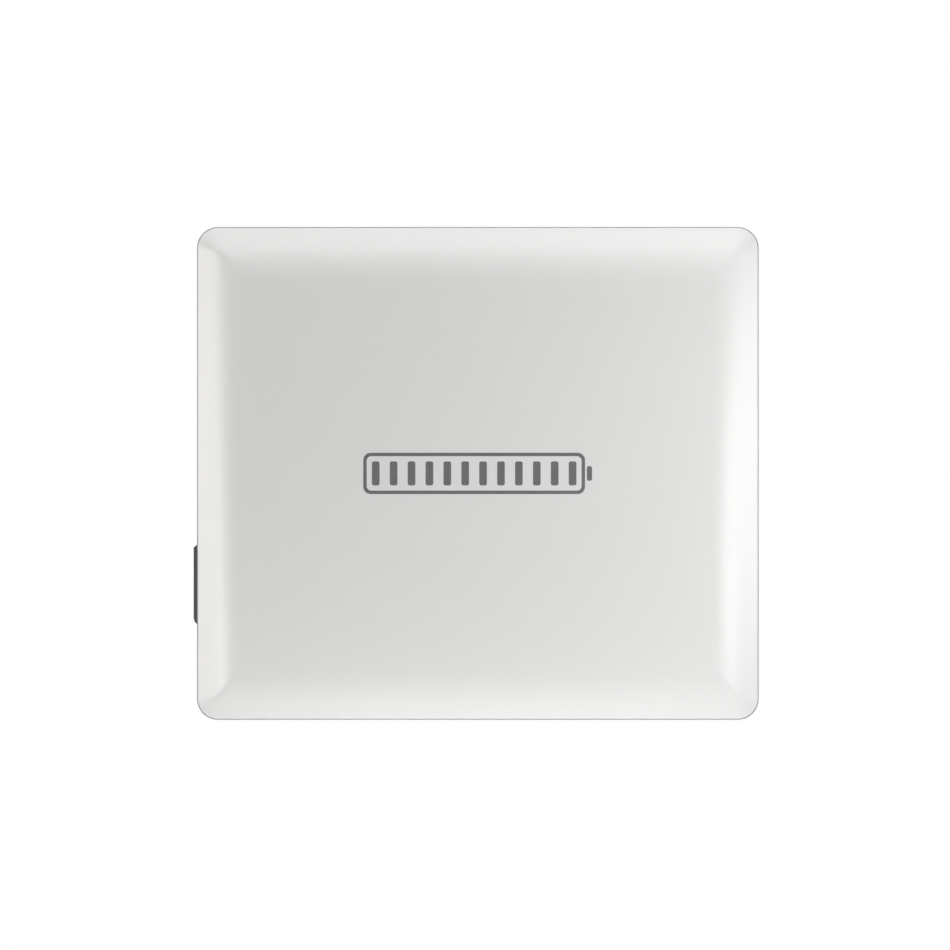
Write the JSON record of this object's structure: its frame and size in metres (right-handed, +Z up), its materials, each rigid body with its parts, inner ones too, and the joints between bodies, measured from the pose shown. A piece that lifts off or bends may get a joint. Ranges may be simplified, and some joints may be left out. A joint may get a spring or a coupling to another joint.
{
  "type": "wall battery unit",
  "caption": "Wide wall-hung home battery: rounded white pull-off cover over a sealed dark housing with a finned back, wall bracket and a side isolator switch under a flap.",
  "frame": {"origin": "on the wall plane, at the middle of the wall bracket's spine, behind the middle of the front cover", "axes": "+Y points into the wall, so the front cover faces -Y; +X is on the right of someone facing the front; +Z is up"},
  "size_m": [0.9242, 0.2086, 0.802],
  "materials": {
    "cover_white": "satin white moulded cover, smooth",
    "housing_cast": "dark grey powder-coated casting",
    "lid_sheet": "pressed sheet, light brushed grain",
    "sink_extrusion": "black anodised extrusion",
    "bracket_steel": "zinc-plated sheet steel",
    "screw_steel": "plain plated steel",
    "pod_plastic": "slate moulded plastic, fine texture",
    "rubber_black": "matt black rubber",
    "lens_clear": "frosted light guide, unlit",
    "cell_blue": "blue film-wrapped aluminium cells",
    "copper": "bare copper",
    "board_green": "circuit board with solder mask",
    "black_plastic": "black moulded plastic",
    "nylon": "natural nylon",
    "cable_orange": "orange cable jacket"
  },
  "bodies": {
    "chassis": {"ac_cable": "black_plastic", "ac_terminal_block": "black_plastic", "battery_lid": "lid_sheet", "battery_module_left": "cell_blue", "battery_module_right": "cell_blue", "bms_board": "board_green", "bracket_spine": "bracket_steel", "busbar_carrier_left": "black_plastic", "busbar_carrier_right": "black_plastic", "comm_board": "board_green", "conduit_hub": "housing_cast", "cover_clip_1": "black_plastic", "cover_clip_2": "black_plastic", "cover_clip_3": "black_plastic", "cover_clip_4": "black_plastic", "dc_cable": "cable_orange", "dc_contactor": "black_plastic", "earth_bar": "copper", "entry_plug": "black_plastic", "flap_hinge_pin": "screw_steel", "hanger_hook_left": "bracket_steel", "hanger_hook_right": "bracket_steel", "heat_sink": "sink_extrusion", "isolator_body": "black_plastic", "lid_screw_1": "screw_steel", "lid_screw_2": "screw_steel", "lid_screw_3": "screw_steel", "lid_screw_4": "screw_steel", "lid_screw_5": "screw_steel", "lid_screw_6": "screw_steel", "lid_seal": "rubber_black", "lock_screw_left": "screw_steel", "lock_screw_right": "screw_steel", "lower_wall_rail": "bracket_steel", "main_fuse": "nylon", "module_clamp_bar": "lid_sheet", "power_board": "board_green", "power_converter_left": "black_plastic", "power_converter_right": "black_plastic", "rear_housing": "housing_cast", "rubber_buffer_left": "rubber_black", "rubber_buffer_right": "rubber_black", "shaft_seal": "rubber_black", "status_lens": "lens_clear", "switch_bezel": "pod_plastic", "upper_wall_rail": "bracket_steel", "wiring_cover": "lid_sheet", "wiring_screw_1": "screw_steel", "wiring_screw_2": "screw_steel", "wiring_screw_3": "screw_steel", "wiring_screw_4": "screw_steel", "wiring_seal": "rubber_black"},
    "front_cover": {"front_cover": "cover_white", "cover_stud_1": "nylon", "cover_stud_2": "nylon", "cover_stud_3": "nylon", "cover_stud_4": "nylon"},
    "guard_flap": {"guard_flap": "pod_plastic"},
    "isolator_knob": {"isolator_knob": "pod_plastic", "isolator_shaft": "screw_steel"}
  },
  "joints": [
    {"name": "front_cover_pull", "type": "slide", "parent": "chassis", "child": "front_cover", "axis": [0, -1, 0], "range_m": [0, 0.26]},
    {"name": "guard_flap_hinge", "type": "hinge", "parent": "chassis", "child": "guard_flap", "pos_m": [-0.4505, -0.0735, -0.1117], "axis": [0, 1, 0], "range_deg": [0, 100]},
    {"name": "isolator_turn", "type": "hinge", "parent": "chassis", "child": "isolator_knob", "pos_m": [-0.4535, -0.0785, -0.185], "axis": [-1, 0, 0], "range_deg": [0, 90]}
  ]
}
